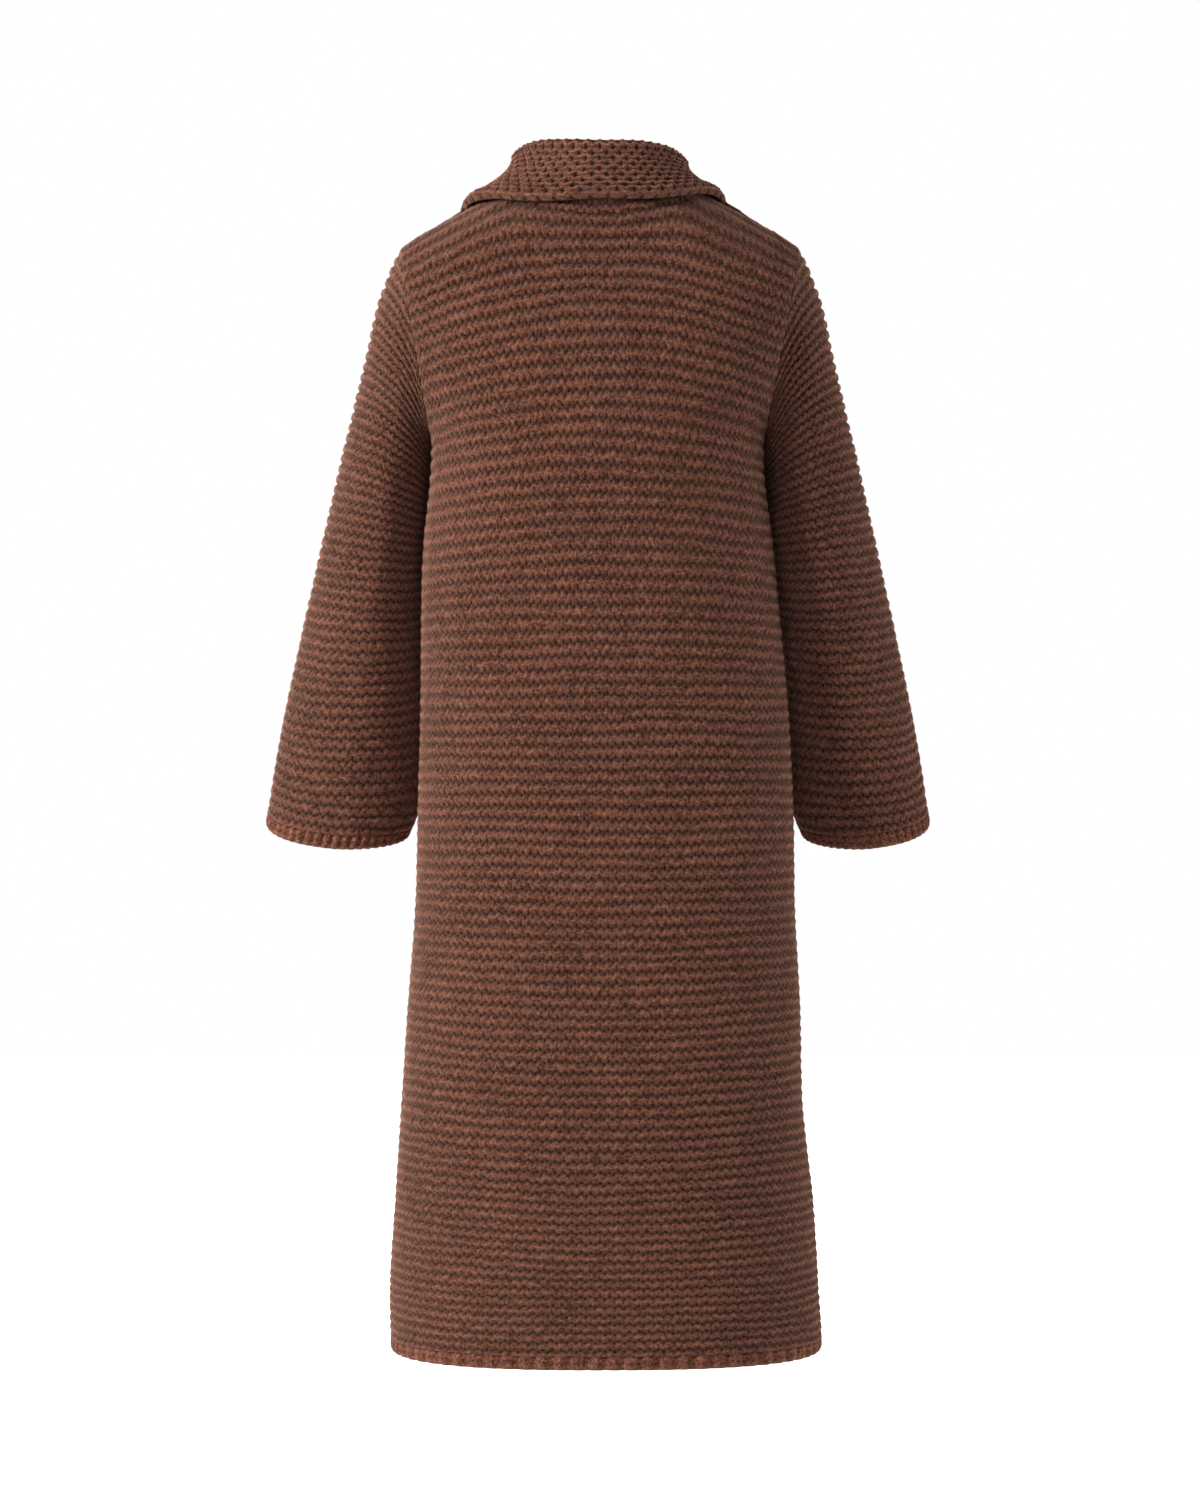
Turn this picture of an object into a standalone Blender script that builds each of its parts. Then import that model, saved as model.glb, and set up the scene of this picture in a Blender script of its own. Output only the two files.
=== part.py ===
"""A long garter-stitch knit coat, hollow and filled out as it is when worn.

The wearer's front faces -Y, the back faces +Y, the wearer's left is +X and up is +Z.
The origin lies at the base of the neck, midway between the two neck points of the shoulders,
where the coat hangs on its wearer. Lengths are in metres.

Every piece is a wall of thick knitting. Its outside carries the raised ridges of the garter
stitch, or the ribs of a band, and its inside is plain. A height is always a height of the body's
side edge: the rows of knitting rise or fall from there towards the middle of a panel.
"""

import bmesh
import bpy
import numpy as np

# Cloth
WALL = 0.0058  # from the crest of a ridge to the inside
RIDGE = 0.0025  # depth of the valley between two ridges
SEAM_GAP = 0.0003

# Shoulders, neck and armholes
NECK_HALF = 0.080
NECK_HEIGHT = 0.006
NECK_DIP = 0.020  # the back neckline is this much lower at its middle
SHOULDER_HALF = 0.195
SHOULDER_HEIGHT = -0.054
SHOULDER_SLOPE = (NECK_HEIGHT - SHOULDER_HEIGHT) / (SHOULDER_HALF - NECK_HALF)
SHOULDER_ROUND = 0.070  # height over which the shoulder rolls into the back or the front
UNDERARM_HEIGHT = -0.245
ARMHOLE_TURN = np.radians(34.0)  # how far round the body the armhole reaches at the shoulder
TOP_BLEND = 0.070  # rows follow the shoulder and neck at first, and their own curve below this

# Fronts
BREAK_HEIGHT = -0.360  # where the neckline ends and the two front edges run down together
FRONT_GAP = 0.003

# Hem
HEM_SEAM_HEIGHT = -1.120
HEM_HEIGHT = -1.133

# The body from the shoulders to the hem. left and right are the half-widths of a panel's edge,
# pitch is the height of one ridge, and rise is how much higher a row lies in the middle.
BODY_SECTIONS = (
    # height, left, right, back, front, pitch, rise
    (-1.133, 0.205, 0.217, 0.160, 0.150, 0.0086, 0.000),
    (-1.120, 0.205, 0.217, 0.159, 0.149, 0.0086, 0.000),
    (-1.088, 0.206, 0.215, 0.157, 0.147, 0.0087, -0.002),
    (-0.990, 0.201, 0.209, 0.149, 0.141, 0.0094, -0.006),
    (-0.900, 0.195, 0.199, 0.141, 0.136, 0.0103, -0.007),
    (-0.794, 0.188, 0.196, 0.131, 0.129, 0.0104, -0.006),
    (-0.700, 0.181, 0.191, 0.121, 0.122, 0.0107, -0.004),
    (-0.622, 0.179, 0.190, 0.112, 0.116, 0.0114, -0.002),
    (-0.503, 0.176, 0.184, 0.104, 0.112, 0.0116, 0.001),
    (-0.363, 0.174, 0.171, 0.108, 0.120, 0.0124, 0.008),
    (-0.245, 0.166, 0.161, 0.115, 0.120, 0.0123, 0.020),
    (-0.150, 0.181, 0.179, 0.111, 0.108, 0.0120, 0.034),
    (-0.054, 0.195, 0.195, 0.086, 0.080, 0.0113, 0.040),
    (0.006, 0.195, 0.195, 0.066, 0.056, 0.0112, 0.040),
)
BODY_SQUARENESS = 2.5

# One sleeve, as rings from the armhole to the cuff's edge. outer_x and outer_z are the ring's
# outermost point, inner_gap its distance from the side of the body at inner_z, middle_y its
# centre, depth its half-depth and lean the forward tilt of its plane in degrees.
SLEEVE_SECTIONS = (
    # share, outer_x, outer_z, inner_gap, inner_z, middle_y, depth, lean
    (0.000, 0.1950, -0.054, 0.0003, -0.245, 0.000, 0.058, 0.0),
    (0.098, 0.2180, -0.108, 0.0065, -0.262, -0.003, 0.064, 2.0),
    (0.211, 0.2330, -0.170, 0.0075, -0.285, -0.009, 0.068, 4.0),
    (0.347, 0.2522, -0.245, 0.0065, -0.325, -0.018, 0.070, 7.0),
    (0.525, 0.2755, -0.343, 0.0045, -0.392, -0.031, 0.070, 11.0),
    (0.702, 0.2980, -0.441, 0.0030, -0.470, -0.043, 0.067, 14.0),
    (0.878, 0.3190, -0.540, 0.0010, -0.557, -0.053, 0.063, 16.0),
    (1.000, 0.3305, -0.608, -0.0010, -0.624, -0.059, 0.060, 16.0),
    (1.025, 0.3330, -0.622, -0.0012, -0.638, -0.060, 0.060, 16.0),
)
SLEEVE_SQUARENESS = 2.3
SLEEVE_PITCH = 0.0103
SLEEVE_OUTER_LENGTH = 0.566
CUFF_SEAM_GAP = 0.0004  # on the outer side, where a sleeve is longer than on its inner side
RIGHT_SLEEVE_NARROWER = 0.004  # the right sleeve hangs this much closer at the cuff
ARMHOLE_FADE = 0.20  # share of the sleeve over which the armhole's own outline fades out

# Half of the collar, from the middle of the back to its front end. along is the place on the
# neckline, fold_x, fold_y and fold_z lead from there to the fold, and edge_x and edge_wrap
# place the free edge: how far from the middle, and how far down from the shoulder line.
COLLAR_SECTIONS = (
    # along, fold_x, fold_y, fold_z, edge_x, edge_wrap
    (0.00, 0.000, -0.002, 0.047, 0.000, 0.120),
    (0.07, -0.001, -0.002, 0.046, 0.057, 0.092),
    (0.14, -0.001, -0.002, 0.042, 0.098, 0.056),
    (0.21, -0.001, -0.001, 0.034, 0.130, 0.010),
    (0.30, -0.003, -0.007, 0.026, 0.141, -0.064),
    (0.42, -0.005, -0.012, 0.016, 0.138, -0.118),
    (0.58, -0.006, -0.013, 0.010, 0.117, -0.194),
    (0.78, -0.005, -0.012, 0.007, 0.078, -0.295),
    (1.00, 0.000, -0.010, 0.003, 0.028, -0.399),
)
COLLAR_CLEARANCE = 0.0090  # centre of the fall's cloth over the body
COLLAR_RIDGES = 9
COLLAR_FOLD_RADIUS = 0.006
COLLAR_SEAM_GAP = 0.0007
COLLAR_END_HALF = 0.008  # the collar stops where the neckline is this close to the middle

# Ribs of the bands, counted over each piece
HEM_BACK_RIBS = 36
HEM_FRONT_RIBS = 18
CUFF_RIBS = 44

# How finely the plain stretches are divided
BACK_SHOULDER_COLUMNS = 3
BACK_NECK_COLUMNS = 2
FRONT_COLUMNS = 4
SLEEVE_COLUMNS = 12
PANEL_INSIDE_STEPS = (3, 15)  # ridge rows to one inside row: near the shoulder, then below
SLEEVE_INSIDE_STEPS = (4, 12)
CUFF_INSIDE_STEP = 8
HEM_INSIDE_STEP = 6
COLLAR_PLACES = (0.0, 0.07, 0.14, 0.185, 0.222, 0.26, 0.32, 0.43, 0.59, 0.78, 1.0)
COLLAR_INSIDE_ROWS = [0, 2, 3, 4, 5, 9, 14, 18, 23]


def columns_of(rows, names):
    """A table's columns by name, lowest first value first."""
    return dict(zip(names.split(), np.array(sorted(rows)).T))


BODY = columns_of(BODY_SECTIONS, "height left right back front pitch rise")
SLEEVE = columns_of(
    SLEEVE_SECTIONS, "share outer_x outer_z inner_gap inner_z middle_y depth lean"
)
COLLAR = columns_of(COLLAR_SECTIONS, "along fold_x fold_y fold_z edge_x edge_wrap")


def read(table, name, at):
    """A smooth curve through one column of a table, read at places of its first column."""
    key = next(iter(table))
    places, values = table[key], table[name]
    slopes = np.gradient(values, places)
    at = np.clip(at, places[0], places[-1])
    i = np.clip(np.searchsorted(places, at) - 1, 0, len(places) - 2)
    step = places[i + 1] - places[i]
    t = (at - places[i]) / step
    return (
        (1 + 2 * t) * (1 - t) ** 2 * values[i]
        + t * (1 - t) ** 2 * step * slopes[i]
        + t**2 * (3 - 2 * t) * values[i + 1]
        + t**2 * (t - 1) * step * slopes[i + 1]
    )


def ease(t):
    t = np.clip(t, 0, 1)
    return t * t * (3 - 2 * t)


def squared(wave, squareness):
    return np.sign(wave) * np.abs(wave) ** (2 / squareness)


# The body's form


def edge_half(height, side):
    """Half-width at a panel's edge: the side seam, or the armhole, which lies in one plane."""
    name = "left" if side > 0 else "right"
    under = read(BODY, name, UNDERARM_HEIGHT)
    up = (height - UNDERARM_HEIGHT) / (SHOULDER_HEIGHT - UNDERARM_HEIGHT)
    armhole = under + (SHOULDER_HALF - under) * up
    return np.where(height > UNDERARM_HEIGHT, armhole, read(BODY, name, height))


def armhole_turn(height):
    up = np.clip((height - UNDERARM_HEIGHT) / (SHOULDER_HEIGHT - UNDERARM_HEIGHT), 0, 1)
    return ARMHOLE_TURN * np.sqrt(1 - (1 - up) ** 2)


def body_half(height, side):
    """Half-width of the whole section, of which the armhole cuts the end away."""
    return edge_half(height, side) / squared(np.cos(armhole_turn(height)), BODY_SQUARENESS)


def roof(x):
    return NECK_HEIGHT + (NECK_HALF - np.abs(x)) * SHOULDER_SLOPE


def body_point(turn, height, inset, side, facing):
    """A point on the body, turn being 0 at the side and a quarter circle at the middle."""
    half = body_half(height, side)
    x = half * squared(np.cos(turn), BODY_SQUARENESS)
    over = np.clip((roof(x) - height) / SHOULDER_ROUND, 0, 1)
    depth = read(BODY, "back" if facing > 0 else "front", height) - inset
    y = depth * squared(np.sin(turn), BODY_SQUARENESS) * np.sqrt(1 - (1 - over) ** 2)
    z = height - inset * (1 - over)
    seam = facing * SEAM_GAP / 2
    return np.stack([side * x * (half - inset) / half, facing * y + seam, z], axis=-1)


def ridge_heights(top, bottom):
    """Heights of each valley and crest between two seams, following the table's pitch."""
    heights = np.linspace(top, bottom, 400)
    pitch = read(BODY, "pitch", heights)
    counted = np.concatenate([[0], np.cumsum(-np.diff(heights) / pitch[1:])])
    ridges = round(counted[-1])
    return np.interp(np.linspace(0, counted[-1], 2 * ridges + 1), counted, heights)


def row_height(height, x, top_x, top_line):
    """Height at x of the row that meets the panel's edge at the given height."""
    drop = SHOULDER_HEIGHT - height
    curve = read(BODY, "rise", height) * (1 - (x / edge_half(height, 1)) ** 2)
    return height + top_line(top_x) + (curve - top_line(top_x)) * ease(drop / TOP_BLEND)


def back_top(x):
    """Shoulder seam and back neckline, over the shoulder point."""
    neck = NECK_HEIGHT - NECK_DIP * (1 - (x / NECK_HALF) ** 2)
    return np.where(np.abs(x) < NECK_HALF, neck, roof(x)) - SHOULDER_HEIGHT


def front_top(x):
    return roof(x) - SHOULDER_HEIGHT


def front_edge_turn(height, side):
    open_share = (height - BREAK_HEIGHT) / (NECK_HEIGHT - BREAK_HEIGHT)
    x = np.maximum(NECK_HALF * open_share, FRONT_GAP / 2)
    return np.arccos((x / body_half(height, side)) ** (BODY_SQUARENESS / 2))


def middle_turn(height, side):
    return np.full_like(height, np.pi / 2)


def half_panel(shares, heights, inset, side, facing):
    """Rows of points from the side edge to the middle of the back, or to the front edge."""
    last_turn, top_line = (middle_turn, back_top) if facing > 0 else (front_edge_turn, front_top)

    def turn_at(height):
        first = armhole_turn(height)
        return first + (last_turn(height, side) - first) * shares[None, :]

    def width_at(height):
        return body_half(height, side) * squared(np.cos(turn_at(height)), BODY_SQUARENESS)

    edge = heights[:, None]
    top_x = width_at(np.array([[SHOULDER_HEIGHT]]))
    height = row_height(edge, width_at(edge), top_x, top_line)
    return body_point(turn_at(height), height, inset, side, facing)


# Walls


def lay_grid(bm, points, wrap_rows, wrap_columns):
    """Vertices and faces of one side of a wall."""
    grid = [[bm.verts.new(point) for point in row] for row in points]
    rows, columns = len(grid), len(grid[0])
    for r in range(rows if wrap_rows else rows - 1):
        for c in range(columns if wrap_columns else columns - 1):
            near, far = grid[r], grid[(r + 1) % rows]
            d = (c + 1) % columns
            bm.faces.new((near[c], near[d], far[d], far[c]))
    return grid


def close_ends(bm, outer, inner, wrap_columns):
    """Faces along a wall's first and last rows."""
    columns = len(inner[0])
    for r in (0, -1):
        for c in range(columns if wrap_columns else columns - 1):
            d = (c + 1) % columns
            bm.faces.new((outer[r][c], outer[r][d], inner[r][d], inner[r][c]))


def close_sides(bm, outer, inner, stops, wrap_rows):
    """Faces down a wall's first and last columns, where many outer rows meet few inner ones."""
    rows = len(outer)
    spans = list(zip(stops[:-1], stops[1:]))
    if wrap_rows:
        spans.append((stops[-1], rows))
    for c in (0, -1):
        for k, (first, last) in enumerate(spans):
            here, there = inner[k][c], inner[(k + 1) % len(inner)][c]
            middle = (first + last) // 2
            for i in range(first, last):
                corner = here if i < middle else there
                bm.faces.new((outer[i][c], outer[(i + 1) % rows][c], corner))
            bm.faces.new((here, there, outer[middle % rows][c]))


def knit_wall(name, outer, inner, stops, wrap_rows=False, wrap_columns=False):
    """A closed wall from its outer rows and the inner rows that lie under the rows in stops."""
    bm = bmesh.new()
    outer_grid = lay_grid(bm, outer, wrap_rows, wrap_columns)
    inner_grid = lay_grid(bm, inner, wrap_rows, wrap_columns)
    if not wrap_rows:
        close_ends(bm, outer_grid, inner_grid, wrap_columns)
    if not wrap_columns:
        close_sides(bm, outer_grid, inner_grid, stops, wrap_rows)
    bmesh.ops.recalc_face_normals(bm, faces=bm.faces)
    mesh = bpy.data.meshes.new(name)
    bm.to_mesh(mesh)
    bm.free()
    mesh.materials.append(WOOL)
    coat.objects.link(bpy.data.objects.new(name, mesh))


def plain_stops(rows, close, wide):
    """Rows that the plain inside keeps: four close together at the start, then wide apart."""
    start = [close * k for k in range(4)]
    rest = np.linspace(start[-1] + close, rows - 1, max(2, round(rows / wide)))
    return start + [int(round(row)) for row in rest]


def valleys(rows):
    """Inset of each row: a valley at the even rows and a crest at the odd ones."""
    return np.where(np.arange(rows) % 2 == 0, RIDGE, 0.0)[:, None]


# Panels


def back_shares():
    """Columns from the armhole to the middle of the back, one of them at the neck point."""
    neck_turn = np.arccos((NECK_HALF / body_half(SHOULDER_HEIGHT, 1)) ** (BODY_SQUARENESS / 2))
    neck_share = (neck_turn - ARMHOLE_TURN) / (np.pi / 2 - ARMHOLE_TURN)
    shoulder = np.linspace(0, neck_share, BACK_SHOULDER_COLUMNS + 1)
    return np.concatenate([shoulder, np.linspace(neck_share, 1, BACK_NECK_COLUMNS + 1)[1:]])


def make_back():
    heights = ridge_heights(SHOULDER_HEIGHT, HEM_SEAM_HEIGHT)

    def across(heights, inset):
        left = half_panel(back_shares(), heights, inset, 1, 1)
        right = half_panel(back_shares(), heights, inset, -1, 1)
        return np.concatenate([left, right[:, -2::-1]], axis=1)

    stops = plain_stops(len(heights), *PANEL_INSIDE_STEPS)
    knit_wall("back", across(heights, valleys(len(heights))), across(heights[stops], WALL), stops)
    print("back:", len(heights) // 2, "ridges")


def make_front(name, side):
    shares = np.linspace(0, 1, FRONT_COLUMNS + 1)
    heights = ridge_heights(SHOULDER_HEIGHT, HEM_SEAM_HEIGHT)
    stops = plain_stops(len(heights), *PANEL_INSIDE_STEPS)
    outer = half_panel(shares, heights, valleys(len(heights)), side, -1)
    inner = half_panel(shares, heights[stops], WALL, side, -1)
    knit_wall(name, outer, inner, stops)


# Sleeves


def armhole_loop(around, side):
    """The armhole's edge on the body, from the shoulder round by the back."""
    up = (1 + np.cos(around)) / 2
    height = UNDERARM_HEIGHT + (SHOULDER_HEIGHT - UNDERARM_HEIGHT) * up
    back = body_point(armhole_turn(height), height, 0.0, side, 1)
    front = body_point(armhole_turn(height), height, 0.0, side, -1)
    return np.where(np.sin(around)[..., None] >= 0, back, front)


def sleeve_ring(share, around, inset, side):
    """Points of the ring at a share of the sleeve's length, around running from its outside."""
    narrower = 0 if side > 0 else RIGHT_SLEEVE_NARROWER
    inner_z = read(SLEEVE, "inner_z", share)
    outer_x = read(SLEEVE, "outer_x", share) - narrower * share
    inner_x = edge_half(inner_z, side) + read(SLEEVE, "inner_gap", share)
    lean = np.radians(read(SLEEVE, "lean", share))
    across_x = (outer_x - inner_x) / 2
    across_z = (read(SLEEVE, "outer_z", share) - inner_z) / 2
    half = np.hypot(across_x, across_z)
    out = squared(np.cos(around), SLEEVE_SQUARENESS) * (half - inset) / half
    back = squared(np.sin(around), SLEEVE_SQUARENESS) * (read(SLEEVE, "depth", share) - inset)
    x = (outer_x + inner_x) / 2 + across_x * out
    y = read(SLEEVE, "middle_y", share) + back * np.cos(lean)
    z = inner_z + across_z * (1 + out) - back * np.sin(lean)
    return np.stack([side * x, y, z], axis=-1)


def sleeve_rows(shares, around, inset, side):
    """Rings that start on the armhole's own outline and turn into the sleeve's."""
    shares, around = shares[:, None], around[None, :]
    own = armhole_loop(around, side) - sleeve_ring(0 * shares, around, 0.0, side)
    own[..., 0] += side * SEAM_GAP
    fade = np.clip(1 - shares / ARMHOLE_FADE, 0, 1)[..., None] ** 2
    return sleeve_ring(shares, around, inset, side) + own * fade


def make_sleeve(name, side):
    ridges = round(SLEEVE_OUTER_LENGTH / SLEEVE_PITCH)
    shares = np.linspace(0, 1, 2 * ridges + 1)
    around = np.linspace(0, 2 * np.pi, SLEEVE_COLUMNS, endpoint=False)
    stops = plain_stops(len(shares), *SLEEVE_INSIDE_STEPS)
    insets = valleys(len(shares))
    insets[0] = 0.0  # the seam itself stands level with the body's crests
    outer = sleeve_rows(shares, around, insets, side)
    inner = sleeve_rows(shares[stops], around, WALL, side)
    knit_wall(name, outer, inner, stops, wrap_columns=True)
    print(name + ":", ridges, "ridges")


# Ribbed bands


def make_cuff(name, side):
    first = 1 + CUFF_SEAM_GAP / SLEEVE_OUTER_LENGTH
    shares = np.array([first, SLEEVE["share"][-1]])
    around = np.linspace(0, 2 * np.pi, 2 * CUFF_RIBS, endpoint=False)
    stops = list(range(0, 2 * CUFF_RIBS, CUFF_INSIDE_STEP))
    insets = np.resize([RIDGE, 0.0], 2 * CUFF_RIBS)[None, :]
    outer = sleeve_rows(shares, around, insets, side)
    inner = sleeve_rows(shares, around[stops], WALL, side)
    knit_wall(
        name, outer.transpose(1, 0, 2), inner.transpose(1, 0, 2), stops, wrap_rows=True
    )


def make_hem(name, ribs, side, facing):
    """The hem's band under the back, or under one front when side is given."""
    heights = np.array([HEM_SEAM_HEIGHT - SEAM_GAP, HEM_HEIGHT])[:, None]

    def along(places, inset):
        if facing > 0:
            turn = np.pi * np.minimum(places, 1 - places)[None, :]
            left = body_point(turn, heights, inset, 1, facing)
            right = body_point(turn, heights, inset, -1, facing)
            band = np.where(places[None, :, None] < 0.5, left, right)
        else:
            turn = front_edge_turn(heights, side) * places[None, :]
            band = body_point(turn, heights, inset, side, facing)
        return band.transpose(1, 0, 2)

    places = np.linspace(0, 1, 2 * ribs + 1)
    stops = list(range(0, 2 * ribs + 1, HEM_INSIDE_STEP))
    insets = np.resize([RIDGE, 0.0], 2 * ribs + 1)[None, :]
    knit_wall(name, along(places, insets), along(places[stops], WALL), stops)


# Collar


def neck_line(side):
    """Inner edge of the neckline: the middle of the back, the shoulder, then down the front."""
    top = np.array([SHOULDER_HEIGHT])
    back = half_panel(back_shares(), top, WALL, side, 1)[0][:BACK_SHOULDER_COLUMNS - 1:-1]
    end = BREAK_HEIGHT + (NECK_HEIGHT - BREAK_HEIGHT) * COLLAR_END_HALF / NECK_HALF
    front = half_panel(np.array([1.0]), np.linspace(top[0], end, 60), WALL, side, -1)[:, 0]
    return np.concatenate([back, front])


def shoulder_point(x, wrap, grow, side):
    """A point over the body, wrap being the way down from the shoulder line, back positive."""
    angle = np.clip(np.abs(wrap) / SHOULDER_ROUND, 0, np.pi / 2)
    below = np.maximum(np.abs(wrap) - SHOULDER_ROUND * np.pi / 2, 0)
    drop = SHOULDER_ROUND * (1 - np.cos(angle)) + below
    z = roof(x) + grow - drop
    half = body_half(z, side) + grow
    across = np.sqrt(1 - np.clip(x / half, 0, 1) ** BODY_SQUARENESS) ** (2 / BODY_SQUARENESS)
    depth = np.where(wrap > 0, read(BODY, "back", z), read(BODY, "front", z)) + grow
    return np.stack([side * x, np.sign(wrap) * depth * across * np.sin(angle), z], axis=-1)


def collar_base(along, side):
    """Where the collar's cloth starts, just inside the neckline."""
    line = neck_line(side)
    walked = np.concatenate([[0], np.cumsum(np.linalg.norm(np.diff(line, axis=0), axis=1))])
    place = along * walked[-1]
    point = np.stack([np.interp(place, walked, line[:, k]) for k in range(3)], axis=-1)
    inward = -point * [1, 1, 0]
    inward[:, 1] = np.minimum(inward[:, 1], 0)
    inward[:, 0] -= 1e-6 * side
    inward /= np.linalg.norm(inward, axis=1, keepdims=True)
    return point + inward * (WALL / 2 + COLLAR_SEAM_GAP)


def collar_profiles(along, side):
    """At each place along the collar, its cloth's middle line and the way out of the fold."""
    base = collar_base(along, side)
    to_fold = np.stack([read(COLLAR, name, along) for name in ("fold_x", "fold_y", "fold_z")], -1)
    fold = base + to_fold * [side, 1, 1]
    edge = shoulder_point(
        read(COLLAR, "edge_x", along), read(COLLAR, "edge_wrap", along), COLLAR_CLEARANCE, side
    )
    stand = np.linalg.norm(fold - base, axis=1, keepdims=True)
    up = (fold - base) / stand
    out = edge - fold
    out -= (out * up).sum(axis=1, keepdims=True) * up
    out /= np.linalg.norm(out, axis=1, keepdims=True)
    start = fold + 2 * COLLAR_FOLD_RADIUS * out
    reach = np.linalg.norm(edge - start, axis=1, keepdims=True)
    drape = -up * np.minimum(reach, 2 * stand)
    rows = [base + (fold - base) * t for t in (0, 0.5, 1)]
    for angle in np.radians([60, 120, 180]):
        rows.append(fold + COLLAR_FOLD_RADIUS * (out * (1 - np.cos(angle)) + up * np.sin(angle)))
    for t in np.linspace(0, 1, 2 * COLLAR_RIDGES + 1)[1:]:
        curve = start * (1 + 2 * t) * (1 - t) ** 2 + edge * t * t * (3 - 2 * t)
        rows.append(curve + drape * t * (1 - t) ** 2 + (edge - start) * t * t * (t - 1))
    return np.array(rows), np.cross(up, out)


def make_collar():
    along = np.array(COLLAR_PLACES)
    left, left_turn = collar_profiles(along, 1)
    right, right_turn = collar_profiles(along, -1)
    middle = np.concatenate([right[:, :0:-1], left], axis=1)
    turn = np.concatenate([right_turn[:0:-1], left_turn])
    face = -np.cross(turn[None], np.gradient(middle, axis=0))
    face /= np.linalg.norm(face, axis=2, keepdims=True)
    plain = len(middle) - 2 * COLLAR_RIDGES
    insets = np.concatenate([np.zeros(plain), np.resize([RIDGE, 0.0], 2 * COLLAR_RIDGES)])
    outer = middle + face * (WALL / 2 - insets)[:, None, None]
    inner = (middle - face * WALL / 2)[COLLAR_INSIDE_ROWS]
    knit_wall("collar", outer, inner, COLLAR_INSIDE_ROWS)


# Assembly

for thing in list(bpy.data.objects):
    bpy.data.objects.remove(thing)
coat = bpy.data.collections.new("knit_coat")
bpy.context.scene.collection.children.link(coat)

WOOL = bpy.data.materials.new("brown_wool")
WOOL.use_nodes = True
wool_shader = WOOL.node_tree.nodes["Principled BSDF"]
wool_shader.inputs["Base Color"].default_value = (0.165, 0.075, 0.053, 1)
wool_shader.inputs["Roughness"].default_value = 0.9
wool_shader.inputs["Metallic"].default_value = 0.0

make_back()
make_front("front_left", 1)
make_front("front_right", -1)
make_sleeve("sleeve_left", 1)
make_sleeve("sleeve_right", -1)
make_collar()
make_hem("hem_back", HEM_BACK_RIBS, 1, 1)
make_hem("hem_front_left", HEM_FRONT_RIBS, 1, -1)
make_hem("hem_front_right", HEM_FRONT_RIBS, -1, -1)
make_cuff("cuff_left", 1)
make_cuff("cuff_right", -1)
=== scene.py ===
import math

import bmesh
import bpy
import numpy as np
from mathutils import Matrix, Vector


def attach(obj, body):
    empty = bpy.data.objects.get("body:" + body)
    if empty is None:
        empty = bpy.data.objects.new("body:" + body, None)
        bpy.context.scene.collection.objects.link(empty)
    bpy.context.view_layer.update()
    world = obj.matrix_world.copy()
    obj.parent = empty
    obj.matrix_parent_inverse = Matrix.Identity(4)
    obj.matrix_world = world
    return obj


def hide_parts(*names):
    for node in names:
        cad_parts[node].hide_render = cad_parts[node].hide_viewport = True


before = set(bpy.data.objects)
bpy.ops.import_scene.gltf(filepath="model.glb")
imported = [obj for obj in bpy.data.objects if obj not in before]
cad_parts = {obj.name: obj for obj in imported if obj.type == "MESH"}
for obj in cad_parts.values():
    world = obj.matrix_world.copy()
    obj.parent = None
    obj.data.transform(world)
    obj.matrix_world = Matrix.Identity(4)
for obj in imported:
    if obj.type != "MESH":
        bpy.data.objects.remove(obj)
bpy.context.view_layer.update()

# A long garter-stitch coat, seen from behind as worn. Lengths are in metres and +Z is up.
# The back faces +Y, the wearer's left is +X, and the origin is at the base of the neck.

bodyForm = {
    "squareness": 2.5,
    "neckHalf": 0.080, "neckHeight": 0.006, "neckDip": 0.020,
    "shoulderHalf": 0.195, "shoulderHeight": -0.054, "shoulderRound": 0.070,
    "underarmHeight": -0.245, "armholeTurn": math.radians(34), "topBlend": 0.070,
    "breakHeight": -0.360, "frontGap": 0.003,
    "hemSeamHeight": -1.120, "hemHeight": -1.133,
    "wall": 0.0058, "seamGap": 0.00002,
}
bodyCurve = {  # half-widths of the left and right side, depths of back and front, ridge pitch, rise
    "height": (-1.133, -1.120, -1.088, -0.990, -0.900, -0.794, -0.700,
               -0.622, -0.503, -0.363, -0.245, -0.150, -0.054, 0.006),
    "left": (0.205, 0.205, 0.206, 0.201, 0.195, 0.188, 0.181,
             0.179, 0.176, 0.174, 0.166, 0.181, 0.195, 0.195),
    "right": (0.217, 0.217, 0.215, 0.209, 0.199, 0.196, 0.191,
              0.190, 0.184, 0.171, 0.161, 0.179, 0.195, 0.195),
    "back": (0.160, 0.159, 0.157, 0.149, 0.141, 0.131, 0.121,
             0.112, 0.104, 0.108, 0.115, 0.111, 0.086, 0.066),
    "front": (0.150, 0.149, 0.147, 0.141, 0.136, 0.129, 0.122,
              0.116, 0.112, 0.120, 0.120, 0.108, 0.080, 0.056),
    "pitch": (0.0086, 0.0086, 0.0087, 0.0094, 0.0103, 0.0104, 0.0107,
              0.0114, 0.0116, 0.0124, 0.0123, 0.0120, 0.0113, 0.0112),
    "rise": (0.000, 0.000, -0.002, -0.006, -0.007, -0.006, -0.004,
             -0.002, 0.001, 0.008, 0.020, 0.034, 0.040, 0.040),
}

# Curves through the tables, and the body's form


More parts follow.
